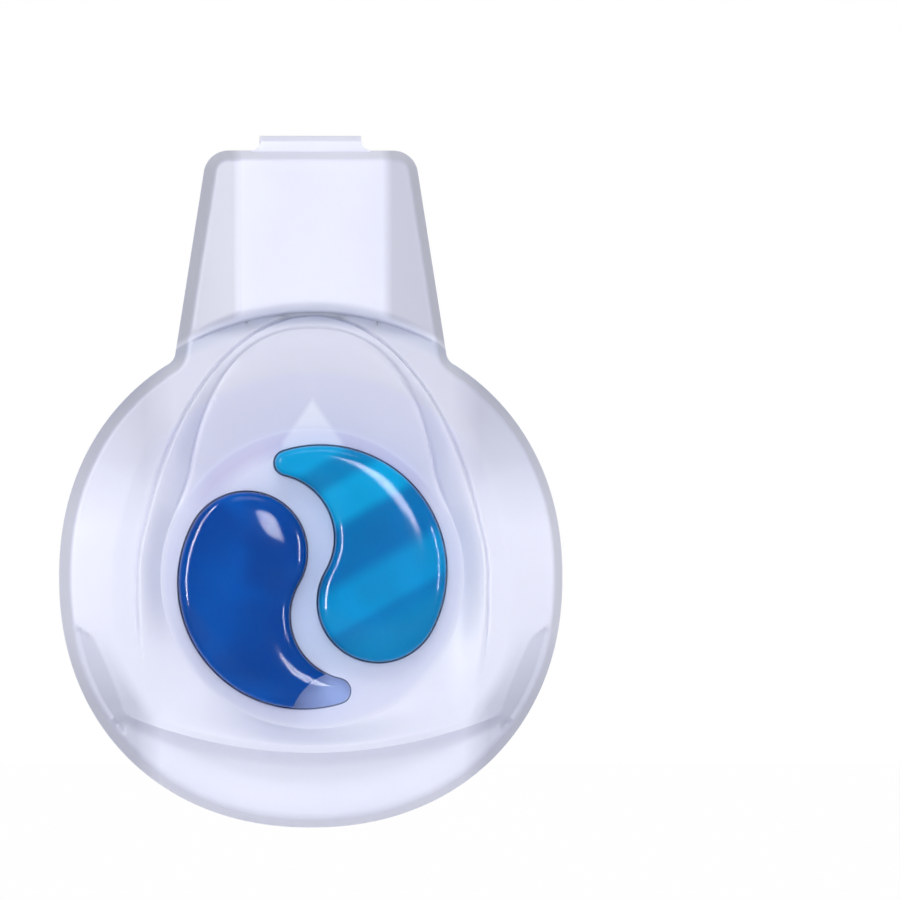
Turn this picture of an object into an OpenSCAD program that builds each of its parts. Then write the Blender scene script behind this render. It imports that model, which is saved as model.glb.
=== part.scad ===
// Hanging dishwasher freshener: a translucent moulded case on a rack hook, with two comma-shaped chambers.
// Row frame: X right, Y towards the back, Z up. The origin is the centre of the wire seat in the hook.
// Pieces are drawn in the face frame: x right, y up from the round face's centre, z forward from the
// rear plane. on_face() carries them into the row frame.

/* [Case outline] */
// Width of the round face
case_w = 60.2; // [58:0.1:64]
// Height of the round face
case_h = 59.9; // [58:0.1:64]
// Squareness of the round face: 2 is a true ellipse
case_power = 2.15; // [2:0.05:2.3]
// Height of the neck's top above the face's centre
neck_top = 51; // [49:0.1:54]
// Width of the neck at its top
neck_w = 24.8; // [22:0.1:27]
// Angle at which each side of the neck flares
neck_flare = 8.9; // [6:0.1:11]
// Radius of the neck's top corners
corner_r = 3; // [2:0.1:4]
// Radius of the hollow where the neck meets the round face
shoulder_r = 1.8; // [1:0.1:3]

/* [Case depth] */
// Wall thickness of the front cover
wall = 1.5; // [1.2:0.1:1.8]
// Depth of the skirt from the rear plane to its front edge
skirt_h = 9.2; // [8.8:0.1:10]
// How far the skirt leans in over that depth
skirt_run = 1.2; // [0.8:0.1:1.6]
// Width of the rounded front edge
edge_w = 0.4; // [0.2:0.05:0.6]
// Height of the dome at its middle, were it not dished
crown_h = 12.8; // [12:0.1:14]
// Height of the neck's panel at its lower edge
panel_h = 11.8; // [11:0.1:13]
// Radius of the panel's curve from side to side
panel_round = 46; // [36:1:80]
// Half width of the panel's middle, past which its sides fall away
panel_mid = 8.7; // [8:0.1:9.5]
// Fall of the panel's sides for each millimetre outwards
panel_side = 0.16; // [0.05:0.01:0.25]
// Fall of the panel for each millimetre upwards
panel_fall = 0.05; // [0:0.01:0.08]
// Radius of the panel's lower edge, about the face's centre
arc_r = 32; // [31.4:0.1:33]

/* [Dish and arch] */
// Height of the dish floor
floor_h = 8.6; // [8.2:0.1:9.2]
// Radius of the flat dish floor
floor_r = 17.7; // [17:0.1:18.4]
// Radius where the dish's cone meets the shelf
dish_r = 24.5; // [23:0.1:25.5]
// Height of the shelf under the arch
shelf_h = 9.6; // [9.3:0.1:10]
// Half width of the arch, inner line
arch_in_w = 15; // [14:0.1:16]
// Height of the arch's inner line above the face's centre
arch_in_top = 29.5; // [28.5:0.1:29.8]
// Half width of the arch, outer line
arch_out_w = 20.9; // [20:0.1:22]
// Height of the arch's outer line above the face's centre
arch_out_top = 31.2; // [30.8:0.05:31.3]
// Height of the arch's bead above the dome
bead_h = 0.45; // [0.3:0.05:0.8]

/* [Bottom grip] */
// Distance from the face's centre down to the middle of the smile-shaped edge
smile_drop = 20.9; // [20:0.1:23]
// How much the smile's ends rise at the width of its corners
smile_rise = 4.8; // [3:0.1:6]
// Half width of the smile at its corners
smile_w = 23; // [21:0.1:24]
// Height of the lip below the smile
lip_h = 8.3; // [7.8:0.1:8.6]
// Fall of the corner facets beside the lip for each millimetre outwards
corner_fall = 1.1; // [0.6:0.1:1.4]
// Width of each side flat, measured inwards
flat_run = 2.8; // [1.5:0.1:3.2]
// Drop of each side flat at the skirt
flat_drop = 2.4; // [1:0.1:3]
// Direction in which each side flat starts, below the horizontal
flat_from = 10; // [6:1:14]
// Direction in which each side flat ends, below the horizontal
flat_to = 35; // [30:1:37]

/* [Chambers] */
// Radius of a chamber's outer arc
comma_r = 15.05; // [14:0.05:15.3]
// Radius of its round lobe
lobe_r = 7.3; // [6.5:0.1:7.6]
// Radius of its tail's tip
tail_r = 1.55; // [1.2:0.05:1.8]
// Radius of its hollow side
hollow_r = 7.6; // [7:0.1:8.4]
// Direction of the lobe from the outer arc's centre
lobe_dir = -28; // [-32:1:-24]
// Direction of the tail's tip from the outer arc's centre
tail_dir = 107.5; // [100:0.5:112]
// Offset of the outer arc's centre to the side
comma_x = 1; // [0.8:0.05:1.4]
// Offset of the outer arc's centre upwards
comma_y = 0.7; // [0:0.05:1]
// Height of the chamber tops above the dish floor
dome_rise = 3.2; // [2:0.1:4]
// Thickness of the formed tray
tray_t = 0.4; // [0.3:0.05:0.6]
// Radius of the tray's flange
flange_r = 18.3; // [17.8:0.1:18.6]
// Gap round each dome in its window
window_gap = 0.15; // [0.1:0.05:0.3]
// Gap between a fill and its tray
fill_gap = 0.08; // [0.05:0.01:0.15]
// Thickness of the breathable film
film_t = 0.2; // [0.1:0.05:0.4]

/* [Back cover] */
// Thickness of the back plate
plate_t = 1.6; // [1.2:0.1:2]
// Width of the rim's thin edge round the plate
rebate_w = 0.9; // [0.8:0.05:1.1]
// Gap between the plate and the rim
plate_gap = 0.15; // [0.05:0.05:0.25]
// Thickness of the ring that carries the tray
ring_t = 1.4; // [1:0.1:2]
// Number of vent slots across the back
vent_count = 7; // [5:2:9]
// Width of a vent slot
vent_w = 1.8; // [1.2:0.1:2.2]
// Pitch of the vent slots
vent_pitch = 4; // [3.4:0.1:4.2]
// Radius of the field of vents
vent_field_r = 14; // [12:0.1:14.5]
// Radius of a snap peg
peg_r = 1.1; // [0.8:0.05:1.3]
// Gap round a peg in its boss
peg_gap = 0.1; // [0.05:0.05:0.2]
// Wall of a boss round its peg
boss_wall = 1; // [0.8:0.1:1.3]
// Length of a snap peg
peg_l = 4.5; // [3.5:0.1:5]

/* [Hook] */
// Radius of the wire seat
seat_r = 3; // [2.5:0.1:3.5]
// Thickness of the hook's band
hook_t = 1.6; // [1.2:0.1:2]
// Width of the hook's band
hook_w = 12.1; // [10:0.1:14]
// Height of the hook's top above the neck's top
hook_show = 1.85; // [1:0.05:2.4]
// Length of the hook's rear leg below the seat's centre
hook_leg = 18; // [14:0.5:20]
// Radius of the bead that holds the wire in
catch_r = 1.1; // [0.8:0.1:1.3]
// How far that bead stands out of the leg
catch_out = 0.7; // [0.4:0.1:0.8]
// Height of that bead above the leg's end
catch_up = 5; // [4:0.5:7]
// Length of the lead-in below the leg
lead_l = 3.5; // [2:0.5:5]
// How far the lead-in turns outwards
lead_out = 1.4; // [0.5:0.1:2]
// Radius of the web's hollow each side of the band
web_r = 1.05; // [0.8:0.05:1.4]

/* [Hidden] */

seat_y = neck_top + hook_show - seat_r - hook_t;
crease_r = case_w / 2 - skirt_run;
neck_half = neck_w / 2;
flare_n = [cos(neck_flare), sin(neck_flare)];
flare_d = [sin(neck_flare), -cos(neck_flare)];
floor_under = floor_h - wall;
tray_z = floor_under - tray_t;
film_z = tray_z - film_t;
dome_top = floor_h + dome_rise;

// Points round half of the case outline: round face, shoulder, neck side, corner, top. Those of the side
// crowd towards the shoulder, where the panel starts.
n_face = 34;
n_shoulder = 5;
n_side = 10;
side_crowd = 1.6;
n_corner = 5;
n_top = 5;
n_half = n_face + n_shoulder + n_side + n_corner + n_top;
n_case = 2 * n_half;

function mix(a, b, f) = a + (b - a) * f;
function clamp(v, lo, hi) = max(lo, min(hi, v));
function ramp(v, from, to) = let (f = clamp((v - from) / (to - from), 0, 1)) f * f * (3 - 2 * f);
function polar(r, t) = [r * cos(t), r * sin(t)];
function heading(p) = atan2(p[1], p[0]);
function oval_r(a, b, power, t) = pow(pow(abs(cos(t)) / a, power) + pow(abs(sin(t)) / b, power), -1 / power);

// The shoulder's fillet touches the round face and the neck's side, at the same centre for every inset
shoulder_dir = 57;
face_r = oval_r(case_w / 2, case_h / 2, case_power, shoulder_dir);
fillet_from = [neck_half, neck_top] + shoulder_r * flare_n;
fillet_b = fillet_from * flare_d;
fillet_c = fillet_from * fillet_from - pow(face_r + shoulder_r, 2);
shoulder_c = fillet_from + (-fillet_b - sqrt(fillet_b * fillet_b - fillet_c)) * flare_d;
shoulder_t = heading(shoulder_c);

// Point k of the right half of the outline, moved inwards by inset, from the bottom to the top
min_r = 0.1;
function side_start(inset) = shoulder_c - (shoulder_r + inset) * flare_n;
function corner_c(inset) =
    let (r = max(corner_r - inset, min_r), drop = inset + r)
    [neck_half + (-drop + drop * flare_n[1]) / flare_n[0], neck_top - drop];
function half_pt(k, inset) =
    let (r = max(corner_r - inset, min_r),
         at_side = n_face + n_shoulder,
         at_corner = at_side + n_side,
         at_top = at_corner + n_corner,
         corner = corner_c(inset))
    k < n_face ? let (t = mix(-90, shoulder_t, k / n_face))
        polar(oval_r(case_w / 2 - inset, case_h / 2 - inset, case_power, t), t) :
    k < at_side ? shoulder_c + polar(shoulder_r + inset,
        180 + mix(shoulder_t, neck_flare, (k - n_face) / n_shoulder)) :
    k < at_corner ? mix(side_start(inset), corner + r * flare_n, pow((k - at_side) / n_side, side_crowd)) :
    k < at_top ? corner + polar(r, mix(neck_flare, 90, (k - at_corner) / n_corner)) :
    mix(corner + [0, r], [0, neck_top - inset], (k - at_top) / n_top);

// Point i of the whole outline, anticlockwise from the bottom
function case_pt(i, inset) =
    i <= n_half ? half_pt(i, inset) : let (p = half_pt(n_case - i, inset)) [-p[0], p[1]];
function case_outline(inset) = [for (i = [0 : n_case - 1]) case_pt(i, inset)];

// Heights of the front surface
function dome(r) = crown_h - (crown_h - skirt_h) * pow(r / crease_r, 2);
function panel(p) = panel_h - pow(p[0], 2) / (2 * panel_round) - panel_fall * (p[1] - arc_r)
    - panel_side * max(0, abs(p[0]) - panel_mid);

// Distance from the centre to a line of the arch in direction t, found by halving
function inside(a, b, mid, power, r, t) =
    let (p = polar(r, t)) pow(abs(p[0]) / a, power) + pow(abs(p[1] - mid) / b, power) < 1;
function arch_r(a, b, mid, power, t, lo = 0, hi = 60, n = 18) =
    n == 0 ? lo : let (r = (lo + hi) / 2)
    inside(a, b, mid, power, r, t) ? arch_r(a, b, mid, power, t, r, hi, n - 1) :
    arch_r(a, b, mid, power, t, lo, r, n - 1);

// Height of the middle of the arch's lines, and their squareness
arch_in_mid = 5;
arch_in_power = 2.3;
arch_out_mid = -3.2;
arch_out_power = 1.9;

// Angles from straight up: the end of the arch's inner line, and where its bead and the neck's step fade
arch_in_end = 80;
bead_fade = [100, 125];
neck_fade = [37, 47];

// Angles over which a side flat fades in round its start and out before its end
flat_in = [-4, 3];
flat_out = [-1.5, 0];

// Gaps kept between neighbouring lines of a section, so that none of them meet
line_keep = 0.35;
arch_keep = 3.2;
edge_keep = 0.8;
field_keep = 0.12;

// Shares of the way across the arch at which a section has a point
arch_at = [0.3, 0.6, 0.9];

// A step: places of its points from its foot, its depth under the panel there, and its run
step_w = [0, 0.35, 0.9, 1.8];
step_share = 0.55;
step_round = 0.25;
step_run = 0.8;
step_fade = 0.4;
field_n = 6;
field_at = [0.35, 0.7];

// Depths of the cove under the smile, and the lip's rise towards its rim
cove_lip = 0.2;
cove_rise = [0.35, 0.05, 0, 0.1];
lip_rise = 0.25;

// Where the corner facets start inside the smile's corners, and how far above them the lines draw together
corner_in = 0.7;
corner_fade = 12;

// Places of the field lines between a step's foot and the front edge at distance c
function step_places(foot, c) = [for (q = [0 : field_n - 1])
    min(q < 4 ? foot + step_w[q] : mix(foot + step_w[3], c, field_at[q - 4]), c - field_keep * (field_n - q))];

// What the sections need to know in direction k of the right half:
// [direction, distance to the edge, smile, lip, flat, in neck, near neck, inner line, outer line, up angle]
function facts(k) =
    let (plain = half_pt(k, skirt_run + edge_w),
         up = abs(atan2(plain[0], plain[1])),
         low = up - 90,
         flat = ramp(low, flat_from + flat_in[0], flat_from + flat_in[1])
             * (1 - ramp(low, flat_to + flat_out[0], flat_to + flat_out[1])),
         edge = half_pt(k, skirt_run + edge_w + flat * flat_run),
         c = norm(edge),
         s = -cos(up),
         bend = smile_rise / pow(smile_w, 2),
         smile = s < 0.2 ? 2 * c : 2 * smile_drop / (s + sqrt(s * s + 4 * bend * smile_drop * pow(sin(up), 2))),
         lip = smile < c - step_fade ? 1 : 0,
         arch_in = up > arch_in_end ? 0 :
             arch_r(arch_in_w, arch_in_top - arch_in_mid, arch_in_mid, arch_in_power, 90 - up),
         arch_out = arch_r(arch_out_w, arch_out_top - arch_out_mid, arch_out_mid, arch_out_power, 90 - up))
    [edge / c, c, smile, lip, flat, ramp(c, arc_r - step_fade, arc_r + step_run),
     1 - ramp(up, neck_fade[0], neck_fade[1]), max(arch_in, floor_r + line_keep),
     min(max(arch_out, floor_r + arch_keep), min(c, smile) - edge_keep), up];

function on_z(p, z) = [p[0], p[1], z];
function lip(p) = lip_h - corner_fall * max(0, abs(p[0]) - smile_w + corner_in);
function skirt_top(f) = f[3] > 0 ? lip(f[1] * f[0]) + lip_rise : mix(dome(f[1]), panel(f[1] * f[0]), f[5]);

// The front's section in direction k, from the dish floor to the rear rim, as [x, y, z] points
function outer_section(k) =
    let (f = facts(k), u = f[0], c = f[1], smile = f[2], in_lip = f[3], flat = f[4],
         inner_line = f[7], outer_line = f[8],
         cone = max(min(dish_r, inner_line - line_keep / 2), floor_r + line_keep / 2),
         cone_h = floor_h + (shelf_h - floor_h) * (cone - floor_r) / (dish_r - floor_r),
         arch = 1 - ramp(f[9], bead_fade[0], bead_fade[1]),
         crest = dome(outer_line) + bead_h * arch,
         neck_places = step_places(arc_r, c),
         lip_places = step_places(smile, c),
         near_lip = 1 - ramp(smile - c, -step_fade, corner_fade),
         places = [for (q = [0 : field_n - 1])
             let (plain = mix(outer_line, c, (q + 1) / (field_n + 1)))
             mix(mix(plain, neck_places[q], f[6]), lip_places[q], near_lip)],
         skirt_z = skirt_top(f))
    concat(
        [on_z(floor_r * u, floor_h), on_z(cone * u, cone_h), on_z(inner_line * u, cone_h)],
        [for (f = arch_at) on_z(mix(inner_line, outer_line, f) * u, mix(cone_h, crest, f))],
        [on_z(outer_line * u, dome(outer_line))],
        [for (q = [0 : field_n - 1])
            let (r = places[q], d = dome(r), p = panel(r * u),
                 rise = q == 0 ? 0 : clamp((c - arc_r - step_w[min(q, 3)]) / step_run, 0, 1),
                 top = q == 1 ? mix(d, p, step_share) : q == 2 ? p - step_round : p,
                 low = lip(r * u),
                 cove = q == 0 ? d - cove_lip : q == 1 ? mix(d, low, 0.5) : low + cove_rise[q - 2])
            on_z(r * u, in_lip > 0 ? cove : mix(d, top, rise))],
        [on_z(half_pt(k, skirt_run + edge_w + flat * flat_run), skirt_z),
         on_z(half_pt(k, skirt_run + mix(0.3 * edge_w, 0.5 * (edge_w + flat_run), flat)),
             mix(skirt_z - 0.3 * edge_w, skirt_z - 0.5 * (edge_w + flat_drop), flat)),
         on_z(half_pt(k, skirt_run), skirt_z - edge_w - flat * flat_drop),
         on_z(half_pt(k, 0), 0)]);

// The inside's section in direction k, from the rear rim back to the dish floor
in_edge_keep = 0.3;
in_skirt = 0.7 * wall;
in_field = [0.75, 0.4];
in_fade = 3;
function inner_section(k) =
    let (f = facts(k), u = f[0], smile = f[2], in_lip = f[3], flat = f[4], outer_line = f[8],
         deep = half_pt(k, skirt_run + edge_w + flat * flat_run + wall),
         v = deep / norm(deep),
         e = norm(deep) - in_edge_keep,
         skirt_z = skirt_top(f),
         low_z = skirt_z - edge_w - flat * flat_drop - in_skirt,
         neck_foot = arc_r + wall,
         a = in_lip > 0 ? smile - line_keep / 2 :
             mix(mix(outer_line, e, in_field[0]), min(neck_foot + step_w[2], e), f[6]),
         b = in_lip > 0 ? smile - wall :
             mix(mix(outer_line, e, in_field[1]), min(neck_foot, e - in_edge_keep), f[6]),
         rise = clamp((e - neck_foot - step_fade) / step_run, 0, 1) * f[6],
         foot = min(outer_line + step_fade, b - line_keep / 2),
         hollow = in_lip > 0 ? clamp((smile - wall - outer_line) / in_fade, 0, 1) : 1)
    [on_z(half_pt(k, rebate_w), 0),
     on_z(half_pt(k, rebate_w), plate_t),
     on_z(half_pt(k, wall + skirt_run * plate_t / skirt_h), plate_t),
     on_z(half_pt(k, skirt_run + wall), low_z),
     on_z(deep, skirt_z - wall),
     on_z(a * v, in_lip > 0 ? lip(a * v) - wall : mix(dome(a), panel(a * v), rise) - wall),
     on_z(b * v, mix(floor_under, dome(b) - wall, hollow)),
     on_z(foot * v, mix(floor_under, dome(foot) - wall, hollow)),
     on_z((floor_r + 1) * (u + v) / 2, floor_under),
     on_z(floor_r * u, floor_under)];

function mirrored(p) = [-p[0], p[1], p[2]];
sections = [for (k = [0 : n_half]) concat(outer_section(k), inner_section(k))];
function section(i) = i <= n_half ? sections[i] : [for (p = sections[n_case - i]) mirrored(p)];

// A closed band through rings of points that all have as many points, and whose last ring meets the first
module ring_loft(rings) {
    n = len(rings);
    m = len(rings[0]);
    polyhedron(
        points = [for (ring = rings) for (p = ring) p],
        faces = [for (i = [0 : n - 1]) for (j = [0 : m - 1])
            let (a = i * m + j, b = i * m + (j + 1) % m, c = (i + 1) % n * m + (j + 1) % m, d = (i + 1) % n * m + j)
            each [[a, c, b], [a, d, c]]]);
}

module on_face() translate([0, -seat_r, -seat_y]) rotate([90, 0, 0]) children();
module shell() ring_loft([for (i = [0 : n_case - 1]) section(i)]);

module dish_floor() translate([0, 0, floor_under]) linear_extrude(wall)
    polygon([for (i = [0 : n_case - 1]) let (p = section(i)[0]) [p[0], p[1]]]);

// Chamber outline: four arcs that touch. The lobe and the tail lie inside the outer arc, and the hollow
// side is an arc that touches both from outside.
comma_c = [comma_x, comma_y];
lobe_c = comma_c + polar(comma_r - lobe_r, lobe_dir);
tail_c = comma_c + polar(comma_r - tail_r, tail_dir);
span = norm(tail_c - lobe_c);
span_u = (tail_c - lobe_c) / span;
hollow_a = (pow(hollow_r + lobe_r, 2) - pow(hollow_r + tail_r, 2) + span * span) / (2 * span);
hollow_h = sqrt(pow(hollow_r + lobe_r, 2) - hollow_a * hollow_a);
hollow_c = lobe_c + hollow_a * span_u + hollow_h * [-span_u[1], span_u[0]];
tail_to_hollow = heading(hollow_c - tail_c) + 360;
hollow_to_lobe = heading(lobe_c - hollow_c);

n_tail = 7;
n_hollow = 14;
n_lobe = 15;
n_outer = n_hollow;
n_comma = n_tail + n_hollow + n_lobe + n_outer;

function arc_pts(c, r, from, to, n) = [for (k = [0 : n - 1]) c + polar(r, mix(from, to, k / n))];
function comma(inset) = concat(
    arc_pts(tail_c, max(tail_r - inset, min_r), tail_dir, tail_to_hollow, n_tail),
    arc_pts(hollow_c, hollow_r + inset, tail_to_hollow - 180, hollow_to_lobe, n_hollow),
    arc_pts(lobe_c, lobe_r - inset, hollow_to_lobe + 180, lobe_dir + 360, n_lobe),
    arc_pts(comma_c, comma_r - inset, lobe_dir, tail_dir, n_outer));

// The line along the middle of a chamber, from 0 at the lobe to 1 at the tail, and the place on it
// towards which each point of the outline moves as the dome rises
function middle(u) = comma_c + polar(mix(comma_r - lobe_r, comma_r - tail_r, u), mix(lobe_dir, tail_dir, u));
comma_u = concat(
    [for (k = [0 : n_tail - 1]) 1],
    [for (k = [0 : n_hollow - 1]) 1 - k / n_hollow],
    [for (k = [0 : n_lobe - 1]) 0],
    [for (k = [0 : n_outer - 1]) k / n_outer]);

// A pillow falls by this share towards its tail, and rises from its knee over these shares of its half width
tail_low = 0.22;
knee_drop = 1.6;
dome_power = 3;
dome_steps = [0.03, 0.09, 0.18, 0.32, 0.52, 0.78];
draft_in = 0.12;
n_rows = 3 + len(dome_steps);
function pillow_rise(f) = pow(1 - pow(1 - f, dome_power), 1 / dome_power);

// A pillow over the chamber outline moved inwards by inset, from the tray's underside up to top_z at the lobe
function pillow_rings(inset, top_z) =
    let (base = comma(inset), draft = comma(inset + draft_in), knee_z = dome_top - knee_drop)
    concat(
        [[for (p = base) on_z(p, tray_z)], [for (p = base) on_z(p, floor_under)],
         [for (p = draft) on_z(p, knee_z)]],
        [for (f = dome_steps) [for (i = [0 : n_comma - 1])
            on_z(mix(draft[i], middle(comma_u[i]), f),
                knee_z + (top_z - knee_z) * (1 - tail_low * comma_u[i]) * pillow_rise(f))]]);

// Faces between rings of n points, numbered from first, then the strip that closes the last ring
function band_faces(first, rows, n) = [for (i = [0 : rows - 2]) for (j = [0 : n - 1])
    let (a = first + i * n + j, b = first + i * n + (j + 1) % n)
    each [[a, b + n, b], [a, a + n, b + n]]];
function cap_faces(o) =
    let (h = n_tail, l = n_tail + n_hollow, e = n_comma)
    concat(
        [for (j = [1 : n_tail - 1]) [o, o + j + 1, o + j]],
        [for (j = [0 : n_hollow - 1]) let (a = o + h + j, b = a + 1, c = o + (e - j) % e, d = o + e - j - 1)
            each [[a, c, b], [b, c, d]]],
        [for (j = [1 : n_lobe - 2]) [o + l, o + l + j + 1, o + l + j]],
        [[o + l, o + e - n_outer, o + e - n_outer - 1]]);
function flipped(faces) = [for (f = faces) [f[0], f[2], f[1]]];
function in_chamber(p, turned) = turned ? [-p[0], -p[1], p[2]] : p;

// The formed dome: an outer pillow, the same pillow inside it, and the foot between them
module tray_dome(turned) {
    outer = pillow_rings(0, dome_top);
    inner = pillow_rings(tray_t, dome_top - tray_t);
    m = n_rows * n_comma;
    polyhedron(
        points = [for (ring = concat(outer, inner)) for (p = ring) in_chamber(p, turned)],
        faces = concat(
            band_faces(0, n_rows, n_comma), cap_faces((n_rows - 1) * n_comma),
            flipped(band_faces(m, n_rows, n_comma)), flipped(cap_faces(m + (n_rows - 1) * n_comma)),
            [for (j = [0 : n_comma - 1]) let (a = j, b = (j + 1) % n_comma)
                each [[a, b, m + b], [a, m + b, m + a]]]));
}

// The fill of a chamber: a pillow that stops short of the formed dome all round
module fill(turned) {
    gap = tray_t + fill_gap;
    rings = pillow_rings(gap, dome_top - gap);
    polyhedron(
        points = [for (ring = rings) for (p = ring) in_chamber(p, turned)],
        faces = concat(band_faces(0, n_rows, n_comma), cap_faces((n_rows - 1) * n_comma), flipped(cap_faces(0))));
}

module chamber_shape(inset, turned) rotate(turned ? 180 : 0) polygon(comma(inset));
module both_chambers(inset) for (turned = [false, true]) chamber_shape(inset, turned);

module chamber_blister() color([0.9, 0.93, 1, 0.4]) on_face() {
    translate([0, 0, tray_z]) linear_extrude(tray_t) difference() {
        circle(flange_r, $fn = 96);
        both_chambers(0);
    }
    for (turned = [false, true]) tray_dome(turned);
}

// The air bubble at the dark fill's tail is a round bite out of it
bubble_r = 7.2;
bubble_at = [4.3, -18.2];
module dark_blue_liquid() color("#0751a4") on_face() difference() {
    fill(true);
    translate([bubble_at[0], bubble_at[1], tray_z - 1]) cylinder(r = bubble_r, h = dome_top, $fn = 64);
}

module light_blue_liquid() color("#058fd7") on_face() fill(false);

module membrane() color("whitesmoke") on_face()
    translate([0, 0, film_z]) cylinder(r = flange_r, h = film_t, $fn = 96);

// Snap pegs: two at the sides, two in the neck and one in the grip, each with the height of its ceiling
side_peg = [24.2, -1.5];
neck_peg = [6.5, 42];
grip_peg = [0, -25.3];
pegs = [
    [side_peg, dome(norm(side_peg))], [[-side_peg[0], side_peg[1]], dome(norm(side_peg))],
    [neck_peg, panel(neck_peg)], [[-neck_peg[0], neck_peg[1]], panel(neck_peg)],
    [grip_peg, lip_h]];
peg_end_gap = 0.3;
module bosses() for (peg = pegs) translate([peg[0][0], peg[0][1], plate_t]) difference() {
    cylinder(r = peg_r + peg_gap + boss_wall, h = peg[1] - wall / 2 - plate_t, $fn = 48);
    translate([0, 0, -1]) cylinder(r = peg_r + peg_gap, h = peg_l + peg_end_gap + 1, $fn = 48);
}

// The notch in the rim through which the hook's band leaves
notch_w = hook_w + 2 * web_r + 2 * plate_gap;
module hook_notch() translate([-notch_w / 2, neck_top - 2 * wall, -1])
    cube([notch_w, 3 * wall, 1 + max(plate_t, hook_t) + plate_gap]);

module front_cover() color([0.93, 0.93, 0.98]) on_face() {
    difference() {
        shell();
        hook_notch();
    }
    difference() {
        dish_floor();
        translate([0, 0, floor_under - 1]) linear_extrude(wall + 2) both_chambers(-window_gap);
    }
    bosses();
}

// Hook, seen from the side with its front to the right: a half ring over the wire, a rear leg with a
// bead that holds the wire in, and a lead-in that turns outwards and ends round
hook_out = seat_r + hook_t;
module hook_side() {
    difference() {
        circle(hook_out, $fn = 96);
        circle(seat_r, $fn = 96);
        translate([-2 * hook_out, -4 * hook_out]) square(4 * hook_out);
    }
    translate([-hook_out, -hook_leg]) square([hook_t, hook_leg]);
    translate([catch_out - seat_r - catch_r, catch_up - hook_leg]) circle(catch_r, $fn = 48);
    polygon([[-hook_out, -hook_leg], [-hook_out - lead_out, -hook_leg - lead_l],
        [-seat_r - lead_out, -hook_leg - lead_l], [-seat_r, -hook_leg]]);
    translate([-seat_r - hook_t / 2 - lead_out, -hook_leg - lead_l]) circle(hook_t / 2, $fn = 48);
}

module hook() translate([0, seat_y, -seat_r]) rotate([0, -90, 0])
    translate([0, 0, -hook_w / 2]) linear_extrude(hook_w) hook_side();

module back_plate() linear_extrude(plate_t) difference() {
    polygon(case_outline(rebate_w + plate_gap));
    intersection() {
        circle(vent_field_r, $fn = 96);
        for (k = [-(vent_count - 1) / 2 : (vent_count - 1) / 2])
            translate([-vent_field_r, k * vent_pitch - vent_w / 2]) square([2 * vent_field_r, vent_w]);
    }
}

module carrier_ring() translate([0, 0, plate_t]) difference() {
    cylinder(r = flange_r, h = film_z - plate_t, $fn = 96);
    translate([0, 0, -1]) cylinder(r = flange_r - ring_t, h = film_z, $fn = 96);
}

module web() linear_extrude(plate_t) difference() {
    translate([-hook_w / 2 - web_r, neck_top - 2 * wall]) square([hook_w + 2 * web_r, 2 * wall + web_r]);
    for (s = [-1, 1]) translate([s * (hook_w / 2 + web_r), neck_top + web_r]) circle(web_r, $fn = 32);
}

module back_cover() color([0.9, 0.9, 0.96]) on_face() {
    back_plate();
    carrier_ring();
    web();
    hook();
    for (peg = pegs) translate([peg[0][0], peg[0][1], 0]) cylinder(r = peg_r, h = plate_t + peg_l, $fn = 48);
}

front_cover();
chamber_blister();
dark_blue_liquid();
light_blue_liquid();
membrane();
back_cover();
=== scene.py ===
# %% [markdown]
# # A hanging dishwasher freshener
# The object is a small translucent case that hangs on a rack wire by a hook behind its neck. Its round face
# has a dish with two comma-shaped windows, and a blister with two scented gels shows through them. This
# notebook loads the CAD model as a fixed frame and then makes each visible piece around it.

import math

import bmesh
import bpy
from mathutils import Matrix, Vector


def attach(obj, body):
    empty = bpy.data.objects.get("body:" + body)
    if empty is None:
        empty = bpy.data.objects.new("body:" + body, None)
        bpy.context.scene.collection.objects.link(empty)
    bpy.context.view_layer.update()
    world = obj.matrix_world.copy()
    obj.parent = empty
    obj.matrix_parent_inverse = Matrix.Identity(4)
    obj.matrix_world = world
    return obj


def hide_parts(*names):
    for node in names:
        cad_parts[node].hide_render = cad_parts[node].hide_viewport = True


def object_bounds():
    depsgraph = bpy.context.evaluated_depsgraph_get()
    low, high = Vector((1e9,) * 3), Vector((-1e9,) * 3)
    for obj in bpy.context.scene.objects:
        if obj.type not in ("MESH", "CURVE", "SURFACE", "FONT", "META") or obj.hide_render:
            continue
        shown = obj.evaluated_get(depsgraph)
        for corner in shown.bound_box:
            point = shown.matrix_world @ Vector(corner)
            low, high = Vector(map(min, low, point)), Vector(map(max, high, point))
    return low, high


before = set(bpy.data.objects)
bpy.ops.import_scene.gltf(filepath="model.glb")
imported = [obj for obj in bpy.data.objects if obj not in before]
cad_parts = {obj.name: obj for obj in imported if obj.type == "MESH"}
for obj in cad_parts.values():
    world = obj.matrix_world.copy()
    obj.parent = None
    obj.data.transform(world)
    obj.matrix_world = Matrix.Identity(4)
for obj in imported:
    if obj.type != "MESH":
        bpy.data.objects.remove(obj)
CAD_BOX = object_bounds()
bpy.ops.object.select_all(action="DESELECT")
print("CAD nodes:", sorted(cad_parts))

# %% [markdown]
# Measures are in millimetres in the face frame: x to the right, y up from the centre of the round face and z
# forward from the rear plane. The row frame of the CAD has its origin in the hook and its front towards -Y,
# so one function carries a point across. It is the same step that the CAD source takes.

# %% Frames, and small helpers
MM = 0.001
FINE_MERGE, PILLOW_MERGE = 1e-6, 2e-6
# Radius of the wire seat in the hook, and how far its centre is above the centre of the face
SEAT_R, SEAT_Y = 3.0, 48.25


def at(x, y, z):
    """A face-frame point in millimetres as a row-frame point in metres."""
    return Vector((x * MM, -(z + SEAT_R) * MM, (y - SEAT_Y) * MM))


def mix(a, b, f):
    return a + (b - a) * f


def clamp(v, low=0.0, high=1.0):
    return max(low, min(high, v))


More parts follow.
